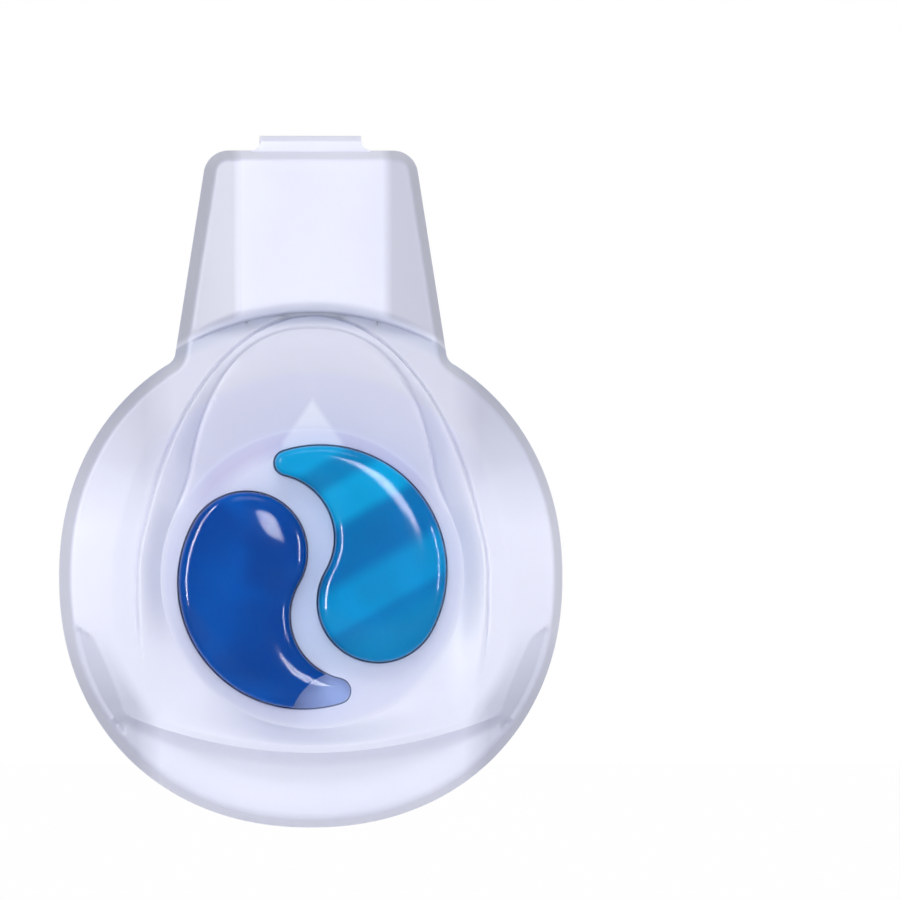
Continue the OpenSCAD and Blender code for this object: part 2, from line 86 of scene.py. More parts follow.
def ease(v, start, end):
    """0 before start, 1 after end, and a soft curve between them."""
    f = clamp((v - start) / (end - start))
    return f * f * (3 - 2 * f)


def soft_min(a, b, width):
    """The smaller of two heights, with the corner between them rounded over width."""
    f = clamp(0.5 + 0.5 * (b - a) / width)
    return mix(b, a, f) - width * f * (1 - f)


def only(obj):
    """Selects one object, makes it active and hands it back."""
    bpy.ops.object.select_all(action="DESELECT")
    obj.select_set(True)
    bpy.context.view_layer.objects.active = obj
    return obj


def apply_all(obj):
    only(obj)
    for modifier in list(obj.modifiers):
        bpy.ops.object.modifier_apply(modifier=modifier.name)


def report(obj):
    mesh = obj.data
    triangles = sum(len(p.vertices) - 2 for p in mesh.polygons)
    print(f"{obj.name}: {len(mesh.vertices)} vertices, {triangles} triangles")


def edit(obj, mode="FACE"):
    """Enters edit mode on one object with nothing selected."""
    only(obj)
    bpy.ops.object.mode_set(mode="EDIT")
    bpy.ops.mesh.select_mode(type=mode)
    bpy.ops.mesh.select_all(action="DESELECT")
    return bmesh.from_edit_mesh(obj.data)


def pick(obj, elements, test):
    """Selects the elements of an edit mesh that pass the test, and counts them."""
    count = 0
    for element in elements:
        chosen = test(element)
        element.select_set(chosen)
        count += chosen
    bmesh.update_edit_mesh(obj.data)
    return count


def leave():
    bpy.ops.object.mode_set(mode="OBJECT")


def merge(obj, distance, close):
    """Welds the seam of an object, fills its open rings if asked, and turns its faces outwards."""
    edit(obj, "VERT")
    bpy.ops.mesh.select_all(action="SELECT")
    bpy.ops.mesh.remove_doubles(threshold=distance)
    if close:
        bpy.ops.mesh.select_all(action="DESELECT")
        bpy.ops.mesh.select_non_manifold()
        bpy.ops.mesh.edge_face_add()
        bpy.ops.mesh.select_all(action="SELECT")
    bpy.ops.mesh.normals_make_consistent(inside=False)
    leave()


def smooth(obj, degrees):
    """Shades an object smooth, apart from edges that are sharper than an angle."""
    only(obj)
    bpy.ops.object.shade_smooth_by_angle(angle=math.radians(degrees))


# %% [markdown]
# The CAD source gives the outline of the case as a squarish ellipse, a small fillet at each shoulder, the
# flared sides of the neck and its rounded top corners. The same values are used here with many more points,
# because the rim is what the eye follows first.

# %% The outline of the case
CASE_W, CASE_H, CASE_POWER = 60.2, 59.9, 2.15
NECK_TOP, NECK_HALF, NECK_FLARE = 51.0, 12.4, math.radians(8.9)
CORNER_R, SHOULDER_R = 3.0, 1.8
FACE_N, SHOULDER_N, SIDE_N, CORNER_N, TOP_N = 190, 14, 84, 16, 42
HALF_N = FACE_N + SHOULDER_N + SIDE_N + CORNER_N + TOP_N
SPOKES = 2 * HALF_N

FLARE_OUT = Vector((math.cos(NECK_FLARE), math.sin(NECK_FLARE)))
FLARE_DOWN = Vector((math.sin(NECK_FLARE), -math.cos(NECK_FLARE)))


def oval_r(half_w, half_h, t):
    across = (abs(math.cos(t)) / half_w) ** CASE_POWER
    return (across + (abs(math.sin(t)) / half_h) ** CASE_POWER) ** (-1 / CASE_POWER)


def polar(r, t):
    return Vector((r * math.cos(t), r * math.sin(t)))


def shoulder_centre():
    start = Vector((NECK_HALF, NECK_TOP)) + SHOULDER_R * FLARE_OUT
    reach = oval_r(CASE_W / 2, CASE_H / 2, math.radians(57)) + SHOULDER_R
    b = start.dot(FLARE_DOWN)
    c = start.dot(start) - reach ** 2
    return start + (-b - math.sqrt(b * b - c)) * FLARE_DOWN


SHOULDER_C = shoulder_centre()
SHOULDER_T = math.atan2(SHOULDER_C.y, SHOULDER_C.x)


def half_outline(inset):
    """The right half of the outline, moved inwards by inset, from the bottom to the top."""
    r = max(CORNER_R - inset, 0.1)
    drop = inset + r
    corner = Vector((NECK_HALF + (-drop + drop * FLARE_OUT.y) / FLARE_OUT.x, NECK_TOP - drop))
    side_from = SHOULDER_C - (SHOULDER_R + inset) * FLARE_OUT
    side_to = corner + r * FLARE_OUT
    points = []
    for k in range(FACE_N):
        t = mix(-math.pi / 2, SHOULDER_T, k / FACE_N)
        points.append(polar(oval_r(CASE_W / 2 - inset, CASE_H / 2 - inset, t), t))
    for k in range(SHOULDER_N):
        t = math.pi + mix(SHOULDER_T, NECK_FLARE, k / SHOULDER_N)
        points.append(SHOULDER_C + polar(SHOULDER_R + inset, t))
    for k in range(SIDE_N):
        points.append(side_from.lerp(side_to, k / SIDE_N))
    for k in range(CORNER_N):
        points.append(corner + polar(r, mix(NECK_FLARE, math.pi / 2, k / CORNER_N)))
    for k in range(TOP_N + 1):
        points.append(Vector((corner.x * (1 - k / TOP_N), NECK_TOP - inset)))
    return points


print("outline points:", SPOKES)

# %% [markdown]
# The front is one moulding, so it is drawn as one height for each place on the face. The dome carries a dish
# with an arch round it; the neck's panel stands above the dome and ends in a rolled lower edge; a
# smile-shaped step leaves a lip for the finger, and a flat is cut from each side. Each form is a small
# function here, and the next cell puts them together.

# %% Heights of the front
CROWN_H, SKIRT_H, SKIRT_RUN, EDGE_W = 12.8, 9.2, 1.2, 0.6
CREASE_R = CASE_W / 2 - SKIRT_RUN
PANEL_H, PANEL_ROUND, PANEL_FALL, ARC_R = 11.8, 46.0, 0.05, 32.0
PANEL_MID, PANEL_SIDE = 8.7, 0.16
FLOOR_H, FLOOR_R, DISH_R, SHELF_H, WALL = 8.6, 17.7, 24.5, 9.6, 1.5
BEAD_H, LIP_H = 0.45, 8.3
# Half width, half height, middle and power of the arch's two lines
ARCH_IN, ARCH_OUT = (15, 24.5, 5, 2.3), (20.9, 34.4, -3.2, 1.9)
LINE_KEEP, ARCH_KEEP, EDGE_KEEP = 0.18, 3.2, 0.8
INNER_KEEP, INNER_SOFT = 0.35, 1.6
# Directions in degrees from straight up, where a form ends or fades
ARCH_IN_END, ARCH_FADE, NECK_FADE, LINE_FADE = 80, (100, 125), (37, 47), (58, 66)
DIP_IN, DIP_OUT = (35, 60), (120, 150)
# How far the arch's slope is rounded, and where on it the bead starts to fall
STANDING_EASE, SLOPING_EASE, BEAD_FROM = 0.3, 0.5, 0.86
DIP_REACH, LIP_REACH, FLAT_SOFT, FLAT_LIFT, RIM_SLOPE = 3, 4, 0.12, 3.0, 0.3
STEP_R, STEP_W = ARC_R - 0.6, 2.0
LINE_DEPTH, LINE_W = 0.22, 0.26
DIP, COVE_W, LIP_RISE, CORNER_FALL = 0.55, 2.0, 0.25, 1.2
SMILE_DROP, SMILE_RISE, SMILE_W, SMILE_CORNER = 20.9, 4.8, 23.0, 22.3


def dome(r):
    return CROWN_H - (CROWN_H - SKIRT_H) * (r / CREASE_R) ** 2


def panel(x, y):
    side_fall = PANEL_SIDE * max(0.0, abs(x) - PANEL_MID)
    return PANEL_H - x * x / (2 * PANEL_ROUND) - PANEL_FALL * (y - ARC_R) - side_fall


def arch_line(half_w, half_h, mid, power, t):
    """Distance from the centre to a line of the arch in direction t, found by halving."""
    low, high = 0.0, 60.0
    for _ in range(30):
        r = (low + high) / 2
        p = polar(r, t)
        if (abs(p.x) / half_w) ** power + (abs(p.y - mid) / half_h) ** power < 1:
            low = r
        else:
            high = r
    return low


def smile_y(x):
    """Height on the face of the smile-shaped edge; past its corner it turns down to the rim."""
    x = abs(x)
    if x <= SMILE_CORNER:
        return -SMILE_DROP + SMILE_RISE * (x / SMILE_W) ** 2
    return smile_y(SMILE_CORNER) - RIM_SLOPE * (x - SMILE_CORNER)


# A side flat: its inner edge starts at FLAT_TOP, and it falls from there along FLAT_OUT
FLAT_TOP = Vector((25.8, -7.5))
FLAT_OUT = Vector((8.4, -3.6)).normalized()
FLAT_UP = Vector((-2.4, 3.8)).normalized()
FLAT_Z, FLAT_SLOPE = 9.72, 0.85


def side_flat(x, y):
    p = Vector((abs(x), y)) - FLAT_TOP
    return FLAT_Z - FLAT_SLOPE * p.dot(FLAT_OUT) + FLAT_LIFT * max(0.0, p.dot(FLAT_UP))


class Spoke:
    """What one direction from the centre of the face meets on its way to the rim."""

    def __init__(self, edge):
        self.reach = edge.length
        self.u = edge / self.reach
        t = math.atan2(self.u.y, self.u.x)
        self.up = abs(math.degrees(math.atan2(self.u.x, self.u.y)))
        self.arch = 1 - ease(self.up, *ARCH_FADE)
        inner = arch_line(*ARCH_IN, t) if self.up <= ARCH_IN_END else 0
        outer = arch_line(*ARCH_OUT, t)
        self.inner = -soft_min(-inner, -FLOOR_R - INNER_KEEP, INNER_SOFT)
        down = -self.u.y
        smile = 2 * self.reach
        if down > 0.2:
            bend = SMILE_RISE / SMILE_W ** 2
            root = math.sqrt(down ** 2 + 4 * bend * SMILE_DROP * self.u.x ** 2)
            smile = 2 * SMILE_DROP / (down + root)
        self.smile = smile
        self.outer = min(max(outer, FLOOR_R + ARCH_KEEP), min(self.reach, smile) - EDGE_KEEP)
        self.cone = max(min(DISH_R, self.inner - LINE_KEEP), FLOOR_R + LINE_KEEP)
        self.cone_h = FLOOR_H + (SHELF_H - FLOOR_H) * (self.cone - FLOOR_R) / (DISH_R - FLOOR_R)
        self.neck = 1 - ease(self.up, *NECK_FADE)
        self.dip = DIP * ease(self.up, *DIP_IN) * (1 - ease(self.up, *DIP_OUT))


def front_height(spoke, r):
    """Height of the front at distance r from the centre along a spoke."""
    x, y = spoke.u.x * r, spoke.u.y * r
    inner, outer = spoke.inner, spoke.outer
    groove = LINE_DEPTH * math.exp(-((r - inner) / LINE_W) ** 2) * (1 - ease(spoke.up, *LINE_FADE))
    if r <= inner:
        return mix(FLOOR_H, spoke.cone_h, clamp((r - FLOOR_R) / (spoke.cone - FLOOR_R))) - groove
    if r < outer:
        q = (r - inner) / (outer - inner)
        crest = dome(r) + BEAD_H * (1 - ease(q, BEAD_FROM, 1.0)) - spoke.dip
        standing = mix(spoke.cone_h, crest, mix(q, ease(q, 0.0, 1.0), STANDING_EASE))
        slope = mix(q, ease(q, 0.0, 1.0), SLOPING_EASE)
        sloping = mix(spoke.cone_h, dome(outer) - spoke.dip, slope)
        return mix(sloping, standing, spoke.arch) - groove
    z = dome(r) - spoke.dip * (1 - ease(r, outer, outer + DIP_REACH))
    z -= LINE_DEPTH * spoke.arch * math.exp(-((r - outer) / LINE_W) ** 2)
    if r > STEP_R:
        rise = 1 - (1 - clamp((r - STEP_R) / STEP_W)) ** 4
        z = mix(z, panel(x, y), rise)
    if y < 0:
        z = soft_min(z, side_flat(x, y), FLAT_SOFT)
        below = smile_y(x) - y
        if below > 0:
            lip = LIP_H + LIP_RISE * ease(r, spoke.reach - LIP_REACH, spoke.reach)
            lip -= CORNER_FALL * max(0.0, abs(x) - SMILE_CORNER)
            cove = (1 - clamp(below / COVE_W)) ** 3
            z = mix(min(lip, z), z, cove)
    return z


print("front heights: dome", round(dome(0), 2), "panel", round(panel(0, ARC_R), 2))

# %% [markdown]
# The front cover is moulded polypropylene with a wall of 1.5 mm. A grid stands for the skin: its columns
# are the spokes, and its rows run from the dish floor over the front, down the skirt, round the rim and back
# inside. Rolled up and welded along its seam, the grid gives even quads that shade smoothly. The rows crowd
# where the form turns quickly, so that the creases stay crisp.

# %% The skin of the front cover
RIM_TURNS = (0.25, 0.5, 0.75, 1.0)
SKIRT_STEPS = (0.2, 0.4, 0.6, 0.8, 0.96)
REAR_RIM = ((0.0, 0.12), (0.12, 0.0), (0.9, 0.0), (0.9, 1.6), (1.7, 1.6))
INSIDE_STEPS = (0.0, 0.15, 0.3, 0.45, 0.6, 0.75, 0.9, 1.0)
INSIDE_KEEP, INSIDE_LOW, NEAR_OUT, NEAR_IN = 0.3, 1.6, 0.8, 0.6


def row_places(spoke):
    """Distances from the centre at which a spoke has a front row, from marks with a count of rows each."""
    end = spoke.reach
    wide = end - spoke.outer
    step = mix(spoke.outer + 0.45 * wide, STEP_R, spoke.neck)
    if spoke.smile < end:
        step = mix(step, spoke.smile, ease(end - spoke.smile, 0, 1.5))
    step = clamp(step, spoke.outer + 0.02 * wide, end - 0.35 * wide)
    after = min(2.6, 0.5 * (end - step))
    marks = [(FLOOR_R, 0), (spoke.cone, 8), (spoke.inner, 4), (mix(spoke.inner, spoke.outer, 0.36), 14),
             (mix(spoke.inner, spoke.outer, 0.84), 6), (spoke.outer, 8),
             (spoke.outer + 0.3 * (step - spoke.outer), 8), (step, 10), (step + after, 20), (end, 18)]
    places = [FLOOR_R]
    for (start, _), (stop, count) in zip(marks, marks[1:]):
        places += [mix(start, stop, (k + 1) / count) for k in range(count)]
    return places


def skirt_inset(z):
    return SKIRT_RUN * clamp(z / SKIRT_H)


def make_skin():
    edge = half_outline(SKIRT_RUN + EDGE_W)
    rim = {}

    def outline_at(inset, k):
        key = round(inset, 3)
        if key not in rim:
            rim[key] = half_outline(inset)
        return rim[key][k]

    columns = []
    for k in range(HALF_N + 1):
        spoke = Spoke(edge[k])
        places = row_places(spoke)
        column = [(*(spoke.u * r), front_height(spoke, r)) for r in places]
        top = column[-1][2]
        inset = round(skirt_inset(top - EDGE_W), 2)
        reach = SKIRT_RUN + EDGE_W - inset
        for turn in RIM_TURNS:
            a = turn * math.pi / 2
            p = outline_at(inset + reach * (1 - math.sin(a)), k)
            column.append((p.x, p.y, top - EDGE_W * (1 - math.cos(a))))
        for f in SKIRT_STEPS:
            p = outline_at(inset * (1 - f), k)
            column.append((p.x, p.y, (top - EDGE_W) * (1 - f)))
        for inset_here, z in REAR_RIM:
            p = outline_at(inset_here, k)
            column.append((p.x, p.y, z))
        inside = outline_at(SKIRT_RUN + EDGE_W + WALL, k)
        column.append((inside.x, inside.y, top - INSIDE_LOW * WALL))
        for f in INSIDE_STEPS:
            r = mix(inside.length - INSIDE_KEEP, FLOOR_R, f)
            z = min(front_height(spoke, near) for near in (r, r + NEAR_OUT, r - NEAR_IN))
            column.append((*(spoke.u * r), max(z - WALL, FLOOR_H - WALL)))
        columns.append(column)
    return columns


columns = make_skin()
ROWS = len(columns[0])
print("rows:", ROWS)


def rolled_grid(name, columns, mirrored):
    """A primitive grid whose columns are laid on the given lines and welded into a ring."""
    if mirrored:
        other = [[(-x, y, z) for x, y, z in column] for column in columns[-2::-1]]
        columns = columns + other
    across, rows = len(columns) - 1, len(columns[0]) - 1
    bpy.ops.object.select_all(action="DESELECT")
    bpy.ops.mesh.primitive_grid_add(x_subdivisions=across, y_subdivisions=rows, size=1)
    obj = bpy.context.object
    obj.name = obj.data.name = name
    for vertex in obj.data.vertices:
        i = round((vertex.co.x + 0.5) * across)
        j = round((vertex.co.y + 0.5) * rows)
        vertex.co = at(*columns[i][j])
    return obj


cover = rolled_grid("front_cover_shell", columns, mirrored=True)

# %% [markdown]
# Two rings of edges are open: the top and the underside of the dish floor. Each is filled with one flat
# face, so the cover is a closed solid before the windows are cut. A boolean needs closed solids.

# %% Close the dish floor
merge(cover, FINE_MERGE, close=True)
for polygon in cover.data.polygons:
    if len(polygon.vertices) > 4:
        print("floor face with", len(polygon.vertices), "corners")
report(cover)

# %% [markdown]
# Each chamber is drawn with four arcs that touch: the round lobe, the long outer side, the tip of the tail
# and the hollow side. The other chamber is the same shape turned by half a turn. Insets of that outline
# give the windows, the formed tray and the gels, so all three follow one another exactly.

# %% The chamber outline
COMMA_R, LOBE_R, TAIL_R, HOLLOW_R = 15.05, 7.3, 1.55, 7.6
COMMA_C = Vector((1.0, 0.7))
LOBE_T, TAIL_T = math.radians(-28), math.radians(107.5)
LOBE_C = COMMA_C + polar(COMMA_R - LOBE_R, LOBE_T)
TAIL_C = COMMA_C + polar(COMMA_R - TAIL_R, TAIL_T)
SPAN = (TAIL_C - LOBE_C).length
SPAN_U = (TAIL_C - LOBE_C) / SPAN
HOLLOW_A = ((HOLLOW_R + LOBE_R) ** 2 - (HOLLOW_R + TAIL_R) ** 2 + SPAN ** 2) / (2 * SPAN)
HOLLOW_UP = math.sqrt((HOLLOW_R + LOBE_R) ** 2 - HOLLOW_A ** 2)
HOLLOW_C = LOBE_C + HOLLOW_A * SPAN_U + HOLLOW_UP * Vector((-SPAN_U.y, SPAN_U.x))


def heading(v):
    return math.atan2(v.y, v.x)


TAIL_TO_HOLLOW = heading(HOLLOW_C - TAIL_C) + 2 * math.pi
HOLLOW_TO_LOBE = heading(LOBE_C - HOLLOW_C)
TAIL_N, SIDE_ARC_N, LOBE_N = 18, 56, 40


def arc(centre, r, start, stop, count):
    return [centre + polar(r, mix(start, stop, k / count)) for k in range(count)]


def comma(inset):
    return (arc(TAIL_C, max(TAIL_R - inset, 0.05), TAIL_T, TAIL_TO_HOLLOW, TAIL_N)
            + arc(HOLLOW_C, HOLLOW_R + inset, TAIL_TO_HOLLOW - math.pi, HOLLOW_TO_LOBE, SIDE_ARC_N)
            + arc(LOBE_C, LOBE_R - inset, HOLLOW_TO_LOBE + math.pi, LOBE_T + 2 * math.pi, LOBE_N)
            + arc(COMMA_C, COMMA_R - inset, LOBE_T, TAIL_T, SIDE_ARC_N))


ALONG = ([1.0] * TAIL_N + [1 - k / SIDE_ARC_N for k in range(SIDE_ARC_N)]
         + [0.0] * LOBE_N + [k / SIDE_ARC_N for k in range(SIDE_ARC_N)])


def spine(u):
    """The line along the middle of a chamber, from its lobe at 0 to its tail at 1."""
    return COMMA_C + polar(mix(COMMA_R - LOBE_R, COMMA_R - TAIL_R, u), mix(LOBE_T, TAIL_T, u))


print("chamber outline points:", len(comma(0)))

# %% [markdown]
# The windows are cut with two prisms, as a mould core would leave them. The cut edges then get a small
# bevel, because a moulded window never has a razor edge and the bevel is what catches the light.

# %% Cut the windows
WINDOW_GAP, WINDOW_BEVEL, WINDOW_KEEP, LEVEL = 0.02, 0.09, 0.3, 1e-6
COVER_SMOOTH, MANY_CORNERS = 38, 40
FLOOR_UNDER = FLOOR_H - WALL


def comma_prism(name, inset, low, high, turned):
    outline = comma(inset)
    bpy.ops.object.select_all(action="DESELECT")
    bpy.ops.mesh.primitive_circle_add(vertices=len(outline), radius=1, fill_type="NGON")
    obj = bpy.context.object
    obj.name = obj.data.name = name
    side = -1 if turned else 1
    for vertex, p in zip(obj.data.vertices, outline):
        vertex.co = at(side * p.x, side * p.y, low)
    edit(obj)
    bpy.ops.mesh.select_all(action="SELECT")
    lift = at(0, 0, high) - at(0, 0, low)
    bpy.ops.mesh.extrude_region_move(TRANSFORM_OT_translate={"value": lift})
    bpy.ops.mesh.select_all(action="SELECT")
    bpy.ops.mesh.normals_make_consistent(inside=False)
    leave()
    return obj


def cut(obj, tool):
    modifier = only(obj).modifiers.new("cut", "BOOLEAN")
    modifier.operation = "DIFFERENCE"
    modifier.solver = "EXACT"
    modifier.object = tool
    bpy.ops.object.modifier_apply(modifier=modifier.name)
    bpy.data.objects.remove(tool)


for turned in (False, True):
    cut(cover, comma_prism("window_core", -WINDOW_GAP, FLOOR_UNDER - 2, FLOOR_H + 4, turned))
report(cover)

# %% Round the window edges
window_mesh = edit(cover, "EDGE")
FLOOR_Y = at(0, 0, FLOOR_H).y


def on_window_edge(edge):
    ends = [v.co for v in edge.verts]
    level = all(abs(p.y - FLOOR_Y) < LEVEL for p in ends)
    inner = (FLOOR_R - WINDOW_KEEP) * MM
    return level and all(Vector((p.x, p.z + SEAT_Y * MM)).length < inner for p in ends)


print("window edges:", pick(cover, window_mesh.edges, on_window_edge))
bpy.ops.mesh.bevel(offset=WINDOW_BEVEL * MM, segments=3, profile=0.5, affect="EDGES")
leave()
smooth(cover, COVER_SMOOTH)
# The dish floor's two large faces are flat, and smooth shading would bend their normals
for polygon in cover.data.polygons:
    if len(polygon.vertices) > MANY_CORNERS:
        polygon.use_smooth = False
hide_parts("front_cover")
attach(cover, "root")
report(cover)

# %% [markdown]
# The blister is a clear sheet that was warmed and drawn over a mould, so its domes are pillows with a soft
# shoulder and a nearly flat top. The pillow is again a rolled grid: its rows climb from the chamber outline
# and close along the chamber's spine, where the welded rows leave no hole.

# %% Pillows over the chamber outline
DOME_TOP, KNEE_DROP, TAIL_LOW = 11.8, 1.6, 0.22
TRAY_T, DRAWN_T, FILL_GAP = 0.4, 0.05, 0.01
TRAY_Z = FLOOR_UNDER - TRAY_T
WALL_DRAFT, WALL_STEPS = 0.12, 6
DOME_STEPS = (0.015, 0.04, 0.07, 0.11, 0.16, 0.22, 0.29, 0.37, 0.46, 0.56, 0.67, 0.79, 0.9, 1.0)


def pillow_columns(inset, top, turned):
    """Lines up a pillow, one for each point of the outline, from its foot to the spine."""
    side = -1 if turned else 1
    base, draft = comma(inset), comma(inset + WALL_DRAFT)
    knee = DOME_TOP - KNEE_DROP
    columns = []
    for p, q, u in zip(base, draft, ALONG):
        column = [(p, TRAY_Z), (p, FLOOR_UNDER)]
        for k in range(1, WALL_STEPS + 1):
            column.append((p.lerp(q, k / WALL_STEPS), mix(FLOOR_UNDER, knee, k / WALL_STEPS)))
        for f in DOME_STEPS:
            height = (top - knee) * (1 - TAIL_LOW * u) * (1 - (1 - f) ** 3) ** (1 / 3)
            column.append((q.lerp(spine(u), f), knee + height))
        columns.append([(side * c.x, side * c.y, z) for c, z in column])
    columns.append(columns[0])
    return columns


# %% [markdown]
# The gels fill the chambers from behind and stop a hair short of the sheet. A bubble of air has gathered in
# the tail of the dark gel. It is cut out with a short drum, and a thin layer of gel stays on the film behind
# it, as it does where a bubble sits in a full chamber.

# %% The two gels
BUBBLE_R, BUBBLE_AT = 7.2, Vector((4.3, -18.2))
BUBBLE_DEPTH, BUBBLE_UP = 10, 5.6
GEL_INSET = DRAWN_T + FILL_GAP
PILLOW_SMOOTH = 50


def make_gel_body(name, turned):
    gel = rolled_grid(name, pillow_columns(GEL_INSET, DOME_TOP - GEL_INSET, turned), mirrored=False)
    merge(gel, PILLOW_MERGE, close=True)
    smooth(gel, PILLOW_SMOOTH)
    return gel


def face_drum(name, corners, r, depth, centre):
    """A drum whose axis points out of the face, with its transform applied."""
    bpy.ops.object.select_all(action="DESELECT")
    bpy.ops.mesh.primitive_cylinder_add(vertices=corners, radius=r * MM, depth=depth * MM, location=centre,
                                        rotation=(math.pi / 2, 0, 0))
    drum = bpy.context.object
    drum.name = drum.data.name = name
    bpy.ops.object.transform_apply(location=True, rotation=True, scale=True)
    return drum


light_gel = make_gel_body("light_blue_gel", False)
dark_gel = make_gel_body("dark_blue_gel", True)
cut(dark_gel, face_drum("bubble", 160, BUBBLE_R, BUBBLE_DEPTH, at(*BUBBLE_AT, TRAY_Z + BUBBLE_UP)))
smooth(dark_gel, PILLOW_SMOOTH)
for piece, node, slot in ((light_gel, "light_blue_liquid", "light_blue_fill"),
                          (dark_gel, "dark_blue_liquid", "dark_blue_fill")):
    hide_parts(node)
    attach(piece, "root")
    report(piece)

# %% [markdown]
# The tray is the same pillow with a thickness, standing on a round flange that is clamped between the dish
# floor and the film.

# %% The clear blister
FLANGE_R, CORE_INSET = 18.3, 0.02


def blister_dome(turned):
    outer = pillow_columns(0, DOME_TOP, turned)
    inner = pillow_columns(DRAWN_T, DOME_TOP - DRAWN_T, turned)
    columns = [a[::-1] + b for a, b in zip(outer, inner)]
    return rolled_grid("blister_dome", columns, mirrored=False)


def blister_flange():
    flange = face_drum("blister_flange", 192, FLANGE_R, TRAY_T, at(0, 0, TRAY_Z + TRAY_T / 2))
    for turned in (False, True):
        cut(flange, comma_prism("chamber_core", CORE_INSET, TRAY_Z - 1, FLOOR_H + 1, turned))
    return flange


parts = [blister_flange()]
for turned in (False, True):
    dome_piece = blister_dome(turned)
    merge(dome_piece, PILLOW_MERGE, close=False)
    parts.append(dome_piece)
only(parts[0])
for part in parts:
    part.select_set(True)
bpy.ops.object.join()
blister = bpy.context.object
blister.name = blister.data.name = "clear_blister"
smooth(blister, PILLOW_SMOOTH)
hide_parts("chamber_blister")
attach(blister, "root")
report(blister)

# %% [markdown]
# The back cover, its vents and the hook have the right shape in the CAD model already. A copy of the mesh is
# merged, its coplanar triangles are dissolved, and every sharp edge gets a fine bevel, because moulded edges
# are never razor sharp.

# %% The back cover and its hook
BACK_BEVEL, BACK_SMOOTH = 0.22, 32
COPLANAR, SHARP = math.radians(0.6), math.radians(40)


def merged_copy(node, name):
    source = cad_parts[node]
    bpy.ops.object.select_all(action="DESELECT")
    obj = bpy.data.objects.new(name, source.data.copy())
    bpy.context.scene.collection.objects.link(obj)
    obj.data.name = name
    obj.data.materials.clear()
    edit(obj, "VERT")
    bpy.ops.mesh.select_all(action="SELECT")
    bpy.ops.mesh.remove_doubles(threshold=FINE_MERGE)
    bpy.ops.mesh.dissolve_limited(angle_limit=COPLANAR)
    leave()
    return obj


back = merged_copy("back_cover", "back_cover_with_hook")
bevel = only(back).modifiers.new("soft edges", "BEVEL")
bevel.width = BACK_BEVEL * MM
bevel.segments = 2
bevel.limit_method = "ANGLE"
bevel.angle_limit = SHARP
bevel.use_clamp_overlap = True
apply_all(back)
smooth(back, BACK_SMOOTH)
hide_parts("back_cover")
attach(back, "root")
report(back)

# %% [markdown]
# Materials start from what each piece is made of. Colours are written as sRGB hex values, as a designer
# would pick them, and one function turns them to linear values.

# %% Helpers for materials
# Sockets of a mix node that hold its two colours, and its colour output
MIX_A, MIX_B, MIX_RESULT = 6, 7, 2


def srgb(code):
    channels = [int(code[k:k + 2], 16) / 255 for k in (1, 3, 5)]
    linear = [c / 12.92 if c <= 0.04045 else ((c + 0.055) / 1.055) ** 2.4 for c in channels]
    return (*linear, 1.0)


def new_material(name):
    material = bpy.data.materials.new(name)
    material.use_nodes = True
    return material, material.node_tree.nodes["Principled BSDF"]


def set_sockets(node, values):
    for key, value in values.items():
        node.inputs[key].default_value = value


def add(owner, kind, settings=None, links=None):
    """Adds a node, sets its properties and sockets, and links its inputs to other nodes' outputs."""
    node = owner.node_tree.nodes.new(kind)
    for key, value in (settings or {}).items():
        if hasattr(node, str(key)):
            setattr(node, key, value)
        else:
            node.inputs[key].default_value = value
    for key, (other, output) in (links or {}).items():
        owner.node_tree.links.new(other.outputs[output], node.inputs[key])
    return node


def join(owner, node, output, target, socket):
    owner.node_tree.links.new(node.outputs[output], target.inputs[socket])


def colour_ramp(owner, source, output, stops):
    """A ramp of colours that an output drives; each stop is a place and a hex value."""
    node = add(owner, "ShaderNodeValToRGB", None, {"Fac": (source, output)})
    elements = node.color_ramp.elements
    while len(elements) < len(stops):
        elements.new(0.5)
    for element, (place, code) in zip(elements, stops):
        element.position = place
        element.color = srgb(code)
    return node


def calculate(owner, operation, first, second):
    """One step of arithmetic on two operands, each a number or a node with the name of its output."""
    node = add(owner, "ShaderNodeMath", {"operation": operation})
    for slot, operand in enumerate((first, second)):
        if isinstance(operand, tuple):
            join(owner, *operand, node, slot)
        else:
            node.inputs[slot].default_value = operand
    return node, "Value"


def span(owner, source, output, start, stop):
    """0 where an output is at start, 1 where it is at stop, and straight between."""
    node = add(owner, "ShaderNodeMapRange", {"From Min": start, "From Max": stop},
               {"Value": (source, output)})
    return node, "Result"


def span_mm(owner, source, output, places):
    """The same between two places in millimetres."""
    return span(owner, source, output, places[0] * MM, places[1] * MM)


def all_of(owner, mask, *others):
    """The product of several masks."""
    for other in others:
        mask = calculate(owner, "MULTIPLY", mask, other)
    return mask


def tint(owner, colour, by, mask=None):
    """Multiplies a colour by an output or by a hex value, as far as a mask says."""
    node = add(owner, "ShaderNodeMix", {"data_type": "RGBA", "blend_type": "MULTIPLY", 0: 1.0})
    join(owner, *colour, node, MIX_A)
    if isinstance(by, str):
        node.inputs[MIX_B].default_value = srgb(by)
    else:
        join(owner, *by, node, MIX_B)
    if mask:
        join(owner, *mask, node, 0)
    return node, MIX_RESULT


def from_centre(owner, coords, x, y):
    """The point on the face plane, from a centre in millimetres, and its distance from there."""
    flat = add(owner, "ShaderNodeMapping",
               {"vector_type": "POINT", "Location": (-x * MM, 0, (SEAT_Y - y) * MM), "Scale": (1, 0, 1)},
               {"Vector": (coords, "Object")})
    distance = add(owner, "ShaderNodeVectorMath", {"operation": "LENGTH"}, {"Vector": (flat, "Vector")})
    return flat, (distance, "Value")


def dress(obj, material):
    obj.data.materials.clear()
    obj.data.materials.append(material)


